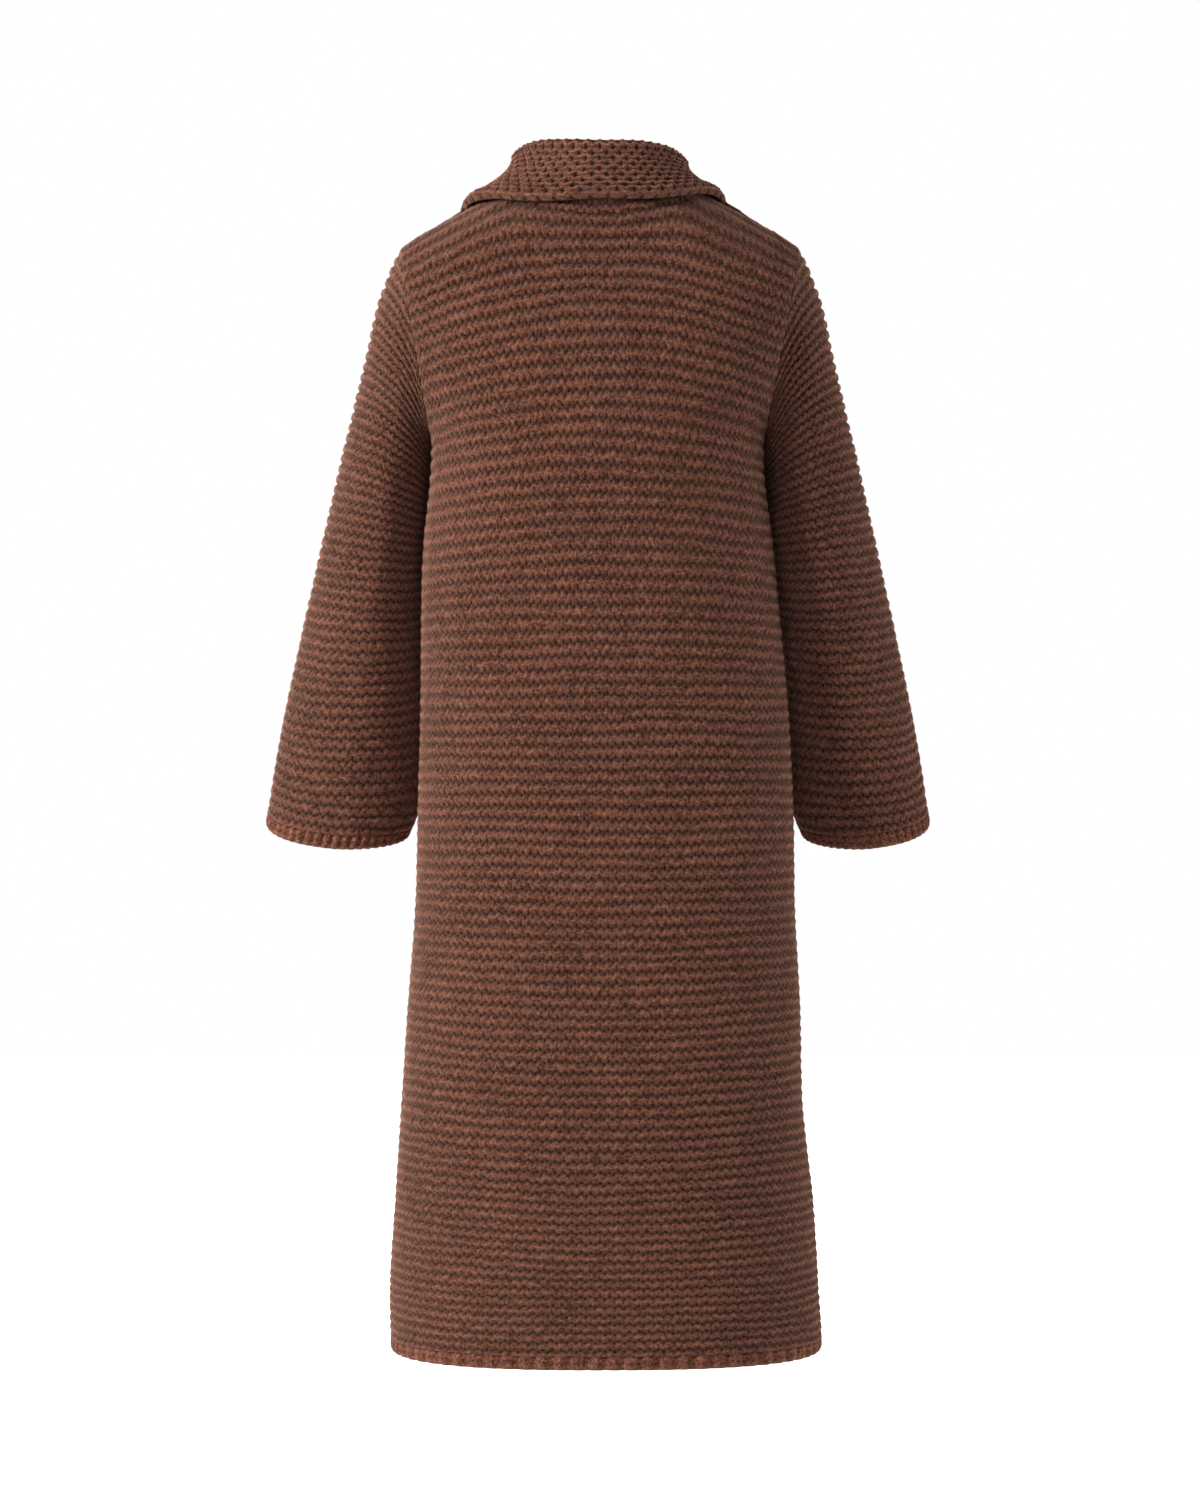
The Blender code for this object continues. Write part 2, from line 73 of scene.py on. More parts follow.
def readCurve(table, name, at):
    # a smooth curve through one column, read at places of the table's first column
    places, values = np.array(table[next(iter(table))]), np.array(table[name])
    slopes = np.gradient(values, places)
    at = np.clip(at, places[0], places[-1])
    i = np.clip(np.searchsorted(places, at) - 1, 0, len(places) - 2)
    step = places[i + 1] - places[i]
    t = (at - places[i]) / step
    return ((1 + 2 * t) * (1 - t) ** 2 * values[i] + t * (1 - t) ** 2 * step * slopes[i]
            + t**2 * (3 - 2 * t) * values[i + 1] + t**2 * (t - 1) * step * slopes[i + 1])


def ease(t):
    t = np.clip(t, 0, 1)
    return t * t * (3 - 2 * t)


def squared(wave, squareness):
    return np.sign(wave) * np.abs(wave) ** (2 / squareness)


def armholeShare(height):
    low, high = bodyForm["underarmHeight"], bodyForm["shoulderHeight"]
    return (height - low) / (high - low)


def edgeHalf(height, side):
    # half-width at a panel's edge: the side seam, or the armhole, which lies in one plane
    name = "left" if side > 0 else "right"
    under = readCurve(bodyCurve, name, bodyForm["underarmHeight"])
    armhole = under + (bodyForm["shoulderHalf"] - under) * armholeShare(height)
    low = height > bodyForm["underarmHeight"]
    return np.where(low, armhole, readCurve(bodyCurve, name, height))


def armholeTurn(height):
    up = np.clip(armholeShare(height), 0, 1)
    return bodyForm["armholeTurn"] * np.sqrt(1 - (1 - up) ** 2)


def bodyHalf(height, side):
    return edgeHalf(height, side) / squared(np.cos(armholeTurn(height)), bodyForm["squareness"])


def roof(x):
    # height of the shoulder line
    slope = (bodyForm["neckHeight"] - bodyForm["shoulderHeight"]) / (
        bodyForm["shoulderHalf"] - bodyForm["neckHalf"])
    return bodyForm["neckHeight"] + (bodyForm["neckHalf"] - np.abs(x)) * slope


def bodyPoint(turn, height, inset, side, facing):
    # turn is 0 at the side and a quarter circle at the middle
    half = bodyHalf(height, side)
    x = half * squared(np.cos(turn), bodyForm["squareness"])
    over = np.clip((roof(x) - height) / bodyForm["shoulderRound"], 0, 1)
    depth = readCurve(bodyCurve, "back" if facing > 0 else "front", height) - inset
    y = depth * squared(np.sin(turn), bodyForm["squareness"]) * np.sqrt(1 - (1 - over) ** 2)
    z = height - inset * (1 - over)
    y = facing * (y + bodyForm["seamGap"] / 2)
    return np.stack([side * x * (half - inset) / half, y, z], axis=-1)


fineRows = 400  # fine lines that curves are followed on before they are shared out evenly
fineShares = np.linspace(0, 1, 241)
fineRing = 721
fineNeck = 60


def ridgeHeights(perRidge):
    # heights down a panel's edge, a whole number of rows to each ridge, and how many ridges
    heights = np.linspace(bodyForm["shoulderHeight"], bodyForm["hemSeamHeight"], fineRows)
    pitch = readCurve(bodyCurve, "pitch", heights)
    counted = np.concatenate([[0], np.cumsum(-np.diff(heights) / pitch[1:])])
    ridges = round(counted[-1])
    places = np.linspace(0, counted[-1], perRidge * ridges + 1)
    return np.interp(places, counted, heights), ridges


def backTop(x):
    neck = bodyForm["neckHeight"] - bodyForm["neckDip"] * (1 - (x / bodyForm["neckHalf"]) ** 2)
    top = np.where(np.abs(x) < bodyForm["neckHalf"], neck, roof(x))
    return top - bodyForm["shoulderHeight"]


def frontTop(x):
    return roof(x) - bodyForm["shoulderHeight"]


def middleTurn(height, side):
    return np.full_like(height, math.pi / 2)


def frontEdgeTurn(height, side):
    full = bodyForm["neckHeight"] - bodyForm["breakHeight"]
    x = bodyForm["neckHalf"] * (height - bodyForm["breakHeight"]) / full
    x = np.maximum(x, bodyForm["frontGap"] / 2)
    return np.arccos((x / bodyHalf(height, side)) ** (bodyForm["squareness"] / 2))


def halfPanel(shares, heights, inset, side, facing):
    # rows from the side edge to the middle of the back, or to the front edge
    lastTurn, topLine = (middleTurn, backTop) if facing > 0 else (frontEdgeTurn, frontTop)

    def turnAt(height):
        first = armholeTurn(height)
        return first + (lastTurn(height, side) - first) * shares[None, :]

    def widthAt(height):
        return bodyHalf(height, side) * squared(np.cos(turnAt(height)), bodyForm["squareness"])

    edge = heights[:, None]
    topX = widthAt(np.array([[bodyForm["shoulderHeight"]]]))
    curve = readCurve(bodyCurve, "rise", edge) * (1 - (widthAt(edge) / edgeHalf(edge, 1)) ** 2)
    drop = (bodyForm["shoulderHeight"] - edge) / bodyForm["topBlend"]
    height = edge + topLine(topX) + (curve - topLine(topX)) * ease(drop)
    return bodyPoint(turnAt(height), height, inset, side, facing)


softCorner = {"x": 0.197, "z": -0.052, "radius": 0.014, "inward": 0.0020, "sink": 0.0015}


def softened(points):
    # the top of the armhole is rounded off, on whatever piece is near it
    x, z = softCorner["x"], softCorner["z"]
    far = (np.abs(points[..., 0]) - x) ** 2 + (points[..., 2] - z) ** 2
    near = np.exp(-far / softCorner["radius"] ** 2)
    moved = points.copy()
    moved[..., 0] -= np.sign(points[..., 0]) * softCorner["inward"] * near
    moved[..., 2] -= softCorner["sink"] * near
    return moved


def arcs(points, axis):
    # distance walked along rows or columns of points
    steps = np.linalg.norm(np.diff(points, axis=axis), axis=2)
    start = np.zeros_like(np.take(steps, [0], axis=axis))
    return np.concatenate([start, np.cumsum(steps, axis=axis)], axis=axis)


def evenColumns(points, columns):
    # each row of points shared out evenly along its own length
    walked = arcs(points, 1)
    even = np.empty((len(points), columns + 1, 3))
    for r, row in enumerate(points):
        places = np.linspace(0, walked[r, -1], columns + 1)
        for k in range(3):
            even[r, :, k] = np.interp(places, walked[r], row[:, k])
    return even


relax = {"from": -0.345, "to": -0.175, "edge": 0.060, "pull": 0.5, "passes": 130}


def relaxed(points, heights, fromEdge):
    # knitting hangs straight past the end of the armhole, so the crease in the form is eased out
    span = (heights - relax["from"]) / (relax["to"] - relax["from"])
    rows = np.where((span > 0) & (span < 1), np.sin(np.pi * np.clip(span, 0, 1)), 0)
    share = relax["pull"] * (rows[:, None] * ease(fromEdge / relax["edge"]))[1:-1, :, None]
    points = points.copy()
    for _ in range(relax["passes"]):
        points[1:-1] += share * ((points[:-2] + points[2:]) / 2 - points[1:-1])
    return points


# Knitting: a grid is laid on the cloth's form, its ridges and stitches are pressed in,
# and a plain inside and a rim close it to a wall


def numbersOf(things, name, width):
    found = np.empty(len(things) * width, np.float32)
    things.foreach_get(name, found)
    return found.reshape(-1, width)


def gridMesh(points, stitches):
    # a grid primitive moved onto rows and columns of points, with stitch and ridge counts as UVs
    rows, columns = points.shape[:2]
    bm = bmesh.new()
    bmesh.ops.create_grid(bm, x_segments=columns - 1, y_segments=rows - 1, size=1)
    mesh = bpy.data.meshes.new("clothGrid")
    bm.to_mesh(mesh)
    bm.free()
    flat = (numbersOf(mesh.vertices, "co", 3) + 1) / 2
    column = np.rint(flat[:, 0] * (columns - 1)).astype(int)
    row = np.rint(flat[:, 1] * (rows - 1)).astype(int)
    mesh.vertices.foreach_set("co", points[row, column].astype(np.float32).ravel())
    corner = np.empty(len(mesh.loops), np.int32)
    mesh.loops.foreach_get("vertex_index", corner)
    layer = mesh.uv_layers.new(name="stitches")
    layer.uv.foreach_set("vector", stitches[row, column][corner].astype(np.float32).ravel())
    return mesh, row, column


def rimEdges(bm, first, row, column):
    # the edges of an open grid's four rims, one list for each rim
    rims = []
    for pick in (row == 0, row == row.max(), column == 0, column == column.max()):
        inRim = np.zeros(len(bm.verts), bool)
        inRim[first:first + len(pick)] = pick
        rims.append([e for e in bm.edges if e.is_boundary
                     and inRim[e.verts[0].index] and inRim[e.verts[1].index]])
    return rims


weldReach = 2e-5
insideRows = 10**6  # added to the inside's row numbers, to tell its rims from the outside's


def clothWall(name, outer, inner, stitches, steps, closed):
    # outer and inner are points of the same rows and columns, and the inside keeps every few
    innerRows, innerColumns = slice(None, None, steps[0]), slice(None, None, steps[1])
    outside, row, column = gridMesh(outer, stitches)
    inside, rowIn, columnIn = gridMesh(
        inner[innerRows, innerColumns], stitches[innerRows, innerColumns])
    bm = bmesh.new()
    bm.from_mesh(outside)
    bm.from_mesh(inside)
    for scrap in (outside, inside):
        bpy.data.meshes.remove(scrap)
    bm.verts.ensure_lookup_table()
    bm.verts.index_update()
    if closed:  # the two ends of a tube's rows are welded
        ends = np.concatenate([(column == 0) | (column == column.max()),
                               (columnIn == 0) | (columnIn == columnIn.max())])
        marks = bm.verts.layers.int.new("place")
        for vertex in bm.verts:
            vertex[marks] = vertex.index
        seam = [bm.verts[i] for i in np.nonzero(ends)[0]]
        bmesh.ops.remove_doubles(bm, verts=seam, dist=weldReach)
        old = np.array([vertex[marks] for vertex in bm.verts])
        bm.verts.layers.int.remove(marks)
        rows = np.concatenate([row, rowIn + insideRows])[old]
        bm.verts.index_update()
        boundary = [e for e in bm.edges if e.is_boundary]
        for one, other in ((0, insideRows), (row.max(), rowIn.max() + insideRows)):
            rims = [e for e in boundary if all(rows[v.index] in (one, other) for v in e.verts)]
            bmesh.ops.bridge_loops(bm, edges=rims)
    else:
        ones = rimEdges(bm, 0, row, column)
        others = rimEdges(bm, len(row), rowIn, columnIn)
        for one, other in zip(ones, others):
            bmesh.ops.bridge_loops(bm, edges=one + other)
    bmesh.ops.recalc_face_normals(bm, faces=bm.faces)
    mesh = bpy.data.meshes.new(name)
    bm.to_mesh(mesh)
    bm.free()
    mesh.polygons.foreach_set("use_smooth", np.ones(len(mesh.polygons), bool))
    piece = bpy.data.objects.new(name, mesh)
    bpy.context.scene.collection.objects.link(piece)
    return piece


def slopesOf(points, closed):
    # the steps from point to point along rows and down columns, and the way out of the cloth
    along, down = np.gradient(points, axis=1), np.gradient(points, axis=0)
    if closed:
        along[:, 0] = along[:, -1] = (points[:, 1] - points[:, -2]) / 2
    out = np.cross(along, down)
    out /= np.linalg.norm(out, axis=2, keepdims=True)
    return along, down, out


almostAll = 0.999  # keeps the slope of a rolled rim finite


def pressed(crest, inner, depth, shift, closed, rolls):
    # moves the crest surface in by depth and along its columns by shift, and rolls its rims,
    # each with the radius, how far the rim sinks, and how far and how much the relief calms down
    along, down, out = slopesOf(crest, closed)
    out *= np.sign(((crest - inner) * out).sum())
    edges = {"top": arcs(crest, 0), "left": arcs(crest, 1)}
    edges["bottom"] = edges["top"][-1:] - edges["top"]
    edges["right"] = edges["left"][:, -1:] - edges["left"]
    for name, (radius, sunk, calmReach, calm) in rolls.items():
        near = np.clip(1 - edges[name] / radius, 0, 1)
        depth = depth * (1 - calm * (1 - ease(edges[name] / calmReach)))
        depth = depth + sunk * (1 - np.sqrt(1 - almostAll * near**2))
        shift = shift * ease(edges[name] / (2 * radius))
    return crest - down * shift[..., None] - out * depth[..., None]


everyStitch = (1, 1)
tiny = 1e-6


def unevenness(stitch, ridge, cell, chance):
    # a smooth random field from -1 to 1, which changes over a cell of stitches and ridges
    across, down = (stitch - stitch.min()) / cell[0], (ridge - ridge.min()) / cell[1]
    values = chance.uniform(-1, 1, (int(down.max()) + 2, int(across.max()) + 2))
    values[:, int(round(across.max()))] = values[:, 0]
    i, j = down.astype(int), across.astype(int)
    s, t = ease(down - i), ease(across - j)
    upper = values[i, j] * (1 - t) + values[i, j + 1] * t
    lower = values[i + 1, j] * (1 - t) + values[i + 1, j + 1] * t
    return upper * (1 - s) + lower * s


def garter(crest, inner, stitch, ridge, style, closed, rolls):
    # ridges of loops: they arch up at whole stitches and sag between them, none quite like another
    hump = np.sin(np.pi * ridge) ** 2
    loop = np.cos(2 * np.pi * stitch + np.pi * style["alternate"] * np.floor(ridge))
    chance = np.random.default_rng(style["seed"])
    slow = unevenness(stitch, ridge, style["slowCell"], chance)
    quick = unevenness(stitch, ridge, everyStitch, chance)
    own = unevenness(stitch, ridge, everyStitch, chance)
    shift = style["wave"] * loop * hump
    shift = shift + style["slowSway"] * slow + style["quickSway"] * quick
    ridgesPerRow = np.gradient(ridge, axis=0)
    shift = shift / np.maximum(ridgesPerRow, tiny)
    low = 1 - hump ** style["roundness"]
    touching = 1 - loop**2
    if style["alternate"]:  # the gap between two rows opens once a stitch
        touching = (1 + np.cos(2 * np.pi * stitch + np.pi * np.round(ridge))) / 2
    depth = style["depth"] * low * (1 - style["bridge"] * touching)
    depth = depth + style["loopDip"] * hump * (1 - loop**2) + style["unevenDepth"] * own
    pitch = np.linalg.norm(np.gradient(crest, axis=0), axis=2) / ridgesPerRow
    depth = depth * np.clip(pitch / style["fullPitch"], 0, 1)  # squeezed ridges are shallow
    return pressed(crest, inner, depth, shift, closed, rolls)


def ribbed(crest, inner, rib, row, style, closed, rolls):
    # upright ribs with a slight swelling at each stitch
    hump = np.sin(np.pi * rib) ** 2
    depth = style["depth"] * (1 - hump ** style["roundness"])
    depth = depth + style["loopDip"] * hump * np.sin(np.pi * row) ** 2
    return pressed(crest, inner, depth, np.zeros_like(depth), closed, rolls)


def counts(stitch, ridge):
    return np.stack(np.broadcast_arrays(stitch, ridge), axis=-1)


def declare(piece, finish, nodes):
    # a finished piece gets its material, is parented under the root body, and hides the parts of
    # model.glb that it replaces
    piece.data.materials.append(finish)
    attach(piece, "root")
    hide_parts(*nodes)
    print(piece.name, "ready, faces:", len(piece.data.polygons))


# Yarn: how deep each knit's ridges are, and how its loops sit

bodyRidges = {"wave": 0.10, "alternate": 0, "depth": 0.0034, "roundness": 0.60,
              "bridge": 0.20, "loopDip": 0.0009, "unevenDepth": 0.0005, "quickSway": 0.10,
              "slowSway": 0.16, "slowCell": (11, 3), "fullPitch": 0.006, "seed": 11}
sleeveRidges = {**bodyRidges, "slowCell": (7, 3), "seed": 23}
collarRidges = {"wave": 0.30, "alternate": 1, "depth": 0.0028, "roundness": 0.60,
                "bridge": 0.65, "loopDip": 0.0005, "unevenDepth": 0.0003, "quickSway": 0.05,
                "slowSway": 0.08, "slowCell": (11, 3), "fullPitch": 0.006, "seed": 37}
ridgeStart = 0.3  # the shoulder seam runs along a crest
ridgeLeftOver = 0.4  # and the last ridge into the ribbed band
plainRim = (0.003, 0.0005, 0.003, 0)
sideRim = (0.003, 0.0005, 0.025, 0.75)
foldedRim = (0.005, 0.003, 0.005, 0)
bandRibs = {"depth": 0.0034, "roundness": 0.60, "loopDip": 0.0003, "stitchRows": 2}


# Body: the back and the two fronts

backCloth = {
    "halfStitches": 33, "columnsPerStitch": 3, "rowsPerRidge": 4, "insideSteps": (8, 6),
    "flat": (0.598, 1.150), "area": 0.542, "held": "hung",
    "restsOn": ("collar", "front_left", "front_right"),
}
frontCloth = {
    "stitches": 35, "columnsPerStitch": 3, "rowsPerRidge": 4, "insideSteps": (8, 5),
    "flat": (0.290, 1.180), "area": 0.257, "held": "hung",
    "restsOn": ("back", "collar"),
}


def stitchShare(half, heights):
    # stitches keep their width above the underarm, where the armhole cuts rows of them off
    underarm = half[np.argmin(np.abs(heights - bodyForm["underarmHeight"]))]
    return np.where(heights > bodyForm["underarmHeight"], half / underarm, 1)[:, None]


def halfRows(heights, inset, side, facing, columns):
    points = softened(halfPanel(fineShares, heights, inset, side, facing))
    points = evenColumns(points, columns)
    return relaxed(points, heights, arcs(points, 1))


def makeBack(finish):
    cloth = backCloth
    heights, ridges = ridgeHeights(cloth["rowsPerRidge"])
    half = cloth["halfStitches"] * cloth["columnsPerStitch"]

    def rows(inset):
        left = halfRows(heights, inset, 1, 1, half)
        right = halfRows(heights, inset, -1, 1, half)
        return np.concatenate([left, right[:, -2::-1]], axis=1)

    crest, inner = rows(0), rows(bodyForm["wall"])
    ridge = np.linspace(ridgeStart, ridges - ridgeLeftOver, len(heights))[:, None]
    count = np.linspace(-cloth["halfStitches"], cloth["halfStitches"], 2 * half + 1)
    stitch = count[None, :] * stitchShare(arcs(crest[:, :half + 1], 1)[:, -1], heights)
    outer = garter(crest, inner, stitch, ridge, bodyRidges, False,
                   {"top": plainRim, "bottom": plainRim, "left": sideRim, "right": sideRim})
    back = clothWall("backKnit", outer, inner, counts(stitch, ridge), cloth["insideSteps"], False)
    declare(back, finish, ["back"])


def makeFront(name, side, node, finish):
    cloth = frontCloth
    heights, ridges = ridgeHeights(cloth["rowsPerRidge"])
    columns = cloth["stitches"] * cloth["columnsPerStitch"]
    crest = halfRows(heights, 0, side, -1, columns)
    inner = halfRows(heights, bodyForm["wall"], side, -1, columns)
    ridge = np.linspace(ridgeStart, ridges - ridgeLeftOver, len(heights))[:, None]
    count = np.linspace(0, cloth["stitches"], columns + 1)
    stitch = count[None, :] * stitchShare(arcs(crest, 1)[:, -1], heights)
    outer = garter(crest, inner, stitch, ridge, bodyRidges, False,
                   {"top": plainRim, "bottom": plainRim, "left": sideRim, "right": foldedRim})
    front = clothWall(name, outer, inner, counts(stitch, ridge), cloth["insideSteps"], False)
    declare(front, finish, [node])


# Sleeves: rings that start on the armhole's outline and turn into the sleeve's own

sleeveForm = {
    "squareness": 2.3, "insideSquareness": 1.7, "outerLength": 0.566, "rightNarrower": 0.004,
    "ridges": 55, "fade": 0.20, "cuffSeam": 0.0004,
    "ridgesCutOff": 8,  # by the armhole, at the inside of the sleeve
    "pressedFlat": 0.7, "pressedWidth": 3,  # where the sleeve lies on the body
}
sleeveCurve = {  # shares of the length, outer and inner edge, middle, depth and lean in degrees
    "share": (0, 0.098, 0.211, 0.347, 0.525, 0.702, 0.878, 0.950, 1, 1.025),
    "outerX": (0.1950, 0.2180, 0.2330, 0.2522, 0.2755, 0.2980, 0.3190, 0.3260, 0.3305, 0.3330),
    "outerZ": (-0.054, -0.108, -0.170, -0.245, -0.343, -0.441, -0.540, -0.580, -0.608, -0.622),
    "innerGap": (0.0003, -0.0010, -0.0015, -0.0020, -0.0026, -0.0036, -0.0045, -0.0045, 0.0060,
                 0.0120),
    "innerZ": (-0.245, -0.262, -0.285, -0.325, -0.392, -0.470, -0.557, -0.597, -0.624, -0.638),
    "middleY": (0, -0.014, -0.027, -0.035, -0.044, -0.052, -0.058, -0.060, -0.062, -0.063),
    "depth": (0.058, 0.064, 0.068, 0.070, 0.070, 0.067, 0.063, 0.061, 0.060, 0.060),
    "lean": (0, 2, 4, 7, 11, 14, 16, 16, 16, 16),
}
sleeveCloth = {
    "stitches": 49, "columnsPerStitch": 4, "rowsPerRidge": 5, "insideSteps": (25, 1),
    "flat": (0.492, 0.575), "area": 0.183, "held": "hung",
    "restsOn": ("back", "front_left", "front_right"),
}
cuffCloth = {
    "ribs": 44, "columnsPerRib": 8, "rows": 8, "insideSteps": (4, 1),
    "flat": (0.430, 0.014), "area": 0.0059, "held": "hung",
}


def armholeLoop(around, side):
    # from the shoulder round by the back
    low, high = bodyForm["underarmHeight"], bodyForm["shoulderHeight"]
    height = low + (high - low) * (1 + np.cos(around)) / 2
    back = bodyPoint(armholeTurn(height), height, 0, side, 1)
    front = bodyPoint(armholeTurn(height), height, 0, side, -1)
    return np.where(np.sin(around)[..., None] >= 0, back, front)


def sleeveRing(share, around, inset, side):
    # the ring at a share of the sleeve's length, around running from its outside
    narrower = 0 if side > 0 else sleeveForm["rightNarrower"]
    innerZ = readCurve(sleeveCurve, "innerZ", share)
    outerX = readCurve(sleeveCurve, "outerX", share) - narrower * share
    innerX = edgeHalf(innerZ, side) + readCurve(sleeveCurve, "innerGap", share)
    lean = np.radians(readCurve(sleeveCurve, "lean", share))
    acrossX = (outerX - innerX) / 2
    acrossZ = (readCurve(sleeveCurve, "outerZ", share) - innerZ) / 2
    half = np.hypot(acrossX, acrossZ)
    inside = sleeveForm["insideSquareness"] - sleeveForm["squareness"]
    squareness = sleeveForm["squareness"] + inside * (np.cos(around) < 0)
    out = squared(np.cos(around), squareness) * (half - inset) / half
    depth = readCurve(sleeveCurve, "depth", share) - inset
    back = squared(np.sin(around), squareness) * depth
    x = (outerX + innerX) / 2 + acrossX * out
    y = readCurve(sleeveCurve, "middleY", share) + back * np.cos(lean)
    z = innerZ + acrossZ * (1 + out) - back * np.sin(lean)
    return np.stack([side * x, y, z], axis=-1)


def sleeveRows(shares, inset, side, columns):
    shares, around = shares[:, None], np.linspace(0, 2 * np.pi, fineRing)[None, :]
    own = armholeLoop(around, side) - sleeveRing(0 * shares, around, 0, side)
    own[..., 0] += side * bodyForm["seamGap"]
    fade = np.clip(1 - shares / sleeveForm["fade"], 0, 1)[..., None] ** 2
    rings = sleeveRing(shares, around, inset, side) + own * fade
    rings[:, -1] = rings[:, 0]
    return evenColumns(softened(rings), columns)


def makeSleeve(name, side, node, finish):
    cloth = sleeveCloth
    shares = np.linspace(0, 1, cloth["rowsPerRidge"] * sleeveForm["ridges"] + 1)
    columns = cloth["stitches"] * cloth["columnsPerStitch"]
    crest = sleeveRows(shares, 0, side, columns)
    inner = sleeveRows(shares, bodyForm["wall"], side, columns)
    stitch = np.linspace(0, cloth["stitches"], columns + 1)[None, :]
    towardInside = (1 - np.cos(2 * np.pi * stitch / cloth["stitches"])) / 2
    cutOff = sleeveForm["ridgesCutOff"] * towardInside
    ridge = cutOff + (sleeveForm["ridges"] - ridgeLeftOver - cutOff) * shares[:, None]
    outer = garter(crest, inner, stitch, ridge, sleeveRidges, True,
                   {"top": sideRim, "bottom": plainRim})
    towardBody = ease(1 + sleeveForm["pressedWidth"] * (towardInside - 1))[..., None]
    outer = outer + (crest - outer) * sleeveForm["pressedFlat"] * towardBody
    sleeve = clothWall(name, outer, inner, counts(stitch, ridge), cloth["insideSteps"], True)
    declare(sleeve, finish, [node])


def makeCuff(name, side, node, finish):
    cloth = cuffCloth
    first = 1 + sleeveForm["cuffSeam"] / sleeveForm["outerLength"]
    shares = np.linspace(first, sleeveCurve["share"][-1], cloth["rows"] + 1)
    columns = cloth["ribs"] * cloth["columnsPerRib"]
    crest = sleeveRows(shares, 0, side, columns)
    inner = sleeveRows(shares, bodyForm["wall"], side, columns)
    rib = np.linspace(0, cloth["ribs"], columns + 1)[None, :]
    row = np.linspace(0, bandRibs["stitchRows"], len(shares))[:, None]
    outer = ribbed(crest, inner, rib, row, bandRibs, True, {"bottom": foldedRim})
    cuff = clothWall(name, outer, inner, counts(rib, row), cloth["insideSteps"], True)
    declare(cuff, finish, [node])


# Collar: it stands inside the neckline, folds over, and lies on the shoulders and fronts

collarForm = {"clearance": 0.0085, "foldRadius": 0.006, "seamGap": 0.0007, "endHalf": 0.008,
              "rightReach": 0.91, "eased": 60}  # passes that ease the turn at the shoulder
collarCurve = {  # along one side: the fold past the neckline, and the edge over the shoulder
    "along": (0, 0.07, 0.14, 0.21, 0.30, 0.42, 0.58, 0.78, 1),
    "foldX": (0, -0.002, -0.003, -0.003, -0.003, -0.005, -0.006, -0.005, 0),
    "foldY": (-0.002, -0.002, -0.002, -0.001, -0.007, -0.012, -0.013, -0.012, -0.010),
    "foldZ": (0.045, 0.044, 0.036, 0.024, 0.020, 0.015, 0.010, 0.007, 0.003),
    "leftLift": (0, 0.001, 0.004, 0.006, 0.004, 0, 0, 0, 0),
    "edgeX": (0, 0.057, 0.098, 0.130, 0.141, 0.138, 0.117, 0.078, 0.028),
    "edgeWrap": (0.114, 0.087, 0.054, 0.010, -0.064, -0.118, -0.194, -0.295, -0.399),
}
collarCloth = {
    "stitches": 96, "columnsPerStitch": 6, "insideSteps": (6, 6),
    "roll": 0.9, "rollPlace": 0.008, "rollWidth": 0.006,  # the thick edge
    "stretches": ((8, 6), (3, 6), (9, 8)),  # ridges, and rows to each, on the stand, turn and fall
    "flat": (1.090, 0.135), "area": 0.096, "held": "folded",
    "restsOn": ("back", "front_left", "front_right"),
}


def neckLine(side):
    # inner edge of the neckline: the middle of the back, the shoulder, then down the front
    top, wall = np.array([bodyForm["shoulderHeight"]]), bodyForm["wall"]
    neckX = bodyForm["neckHalf"] / bodyHalf(bodyForm["shoulderHeight"], 1)
    neckTurn = math.acos(neckX ** (bodyForm["squareness"] / 2))
    first = armholeTurn(top)[0]
    share = (neckTurn - first) / (math.pi / 2 - first)
    back = halfPanel(np.linspace(1, share, fineNeck), top, wall, side, 1)[0]
    drop = (bodyForm["neckHeight"] - bodyForm["breakHeight"]) * collarForm["endHalf"]
    end = bodyForm["breakHeight"] + drop / bodyForm["neckHalf"]
    down = np.linspace(top[0], end, fineNeck)
    return np.concatenate([back, halfPanel(np.array([1.0]), down, wall, side, -1)[:, 0]])


def shoulderPoint(x, wrap, grow, side):
    # a point over the body, wrap being the way down from the shoulder line, back positive
    bend, squareness = bodyForm["shoulderRound"], bodyForm["squareness"]
    angle = np.clip(np.abs(wrap) / bend, 0, np.pi / 2)
    below = np.maximum(np.abs(wrap) - bend * np.pi / 2, 0)
    z = roof(x) + grow - bend * (1 - np.cos(angle)) - below
    half = bodyHalf(z, side) + grow
    across = np.sqrt(1 - np.clip(x / half, 0, 1) ** squareness) ** (2 / squareness)
    back, front = readCurve(bodyCurve, "back", z), readCurve(bodyCurve, "front", z)
    depth = (np.where(wrap > 0, back, front) + grow) * across * np.sin(angle)
    return np.stack([side * x, np.sign(wrap) * depth, z], axis=-1)


def collarBase(along, side):
    # where the collar's cloth starts, just inside the neckline
    line = neckLine(side)
    walked = np.concatenate([[0], np.cumsum(np.linalg.norm(np.diff(line, axis=0), axis=1))])
    place = along * walked[-1]
    point = np.stack([np.interp(place, walked, line[:, k]) for k in range(3)], axis=-1)
    inward = -point * [1, 1, 0]
    inward[:, 1] = np.minimum(inward[:, 1], 0)
    inward[:, 0] -= tiny * side
    inward /= np.linalg.norm(inward, axis=1, keepdims=True)
    return point + inward * (bodyForm["wall"] / 2 + collarForm["seamGap"])


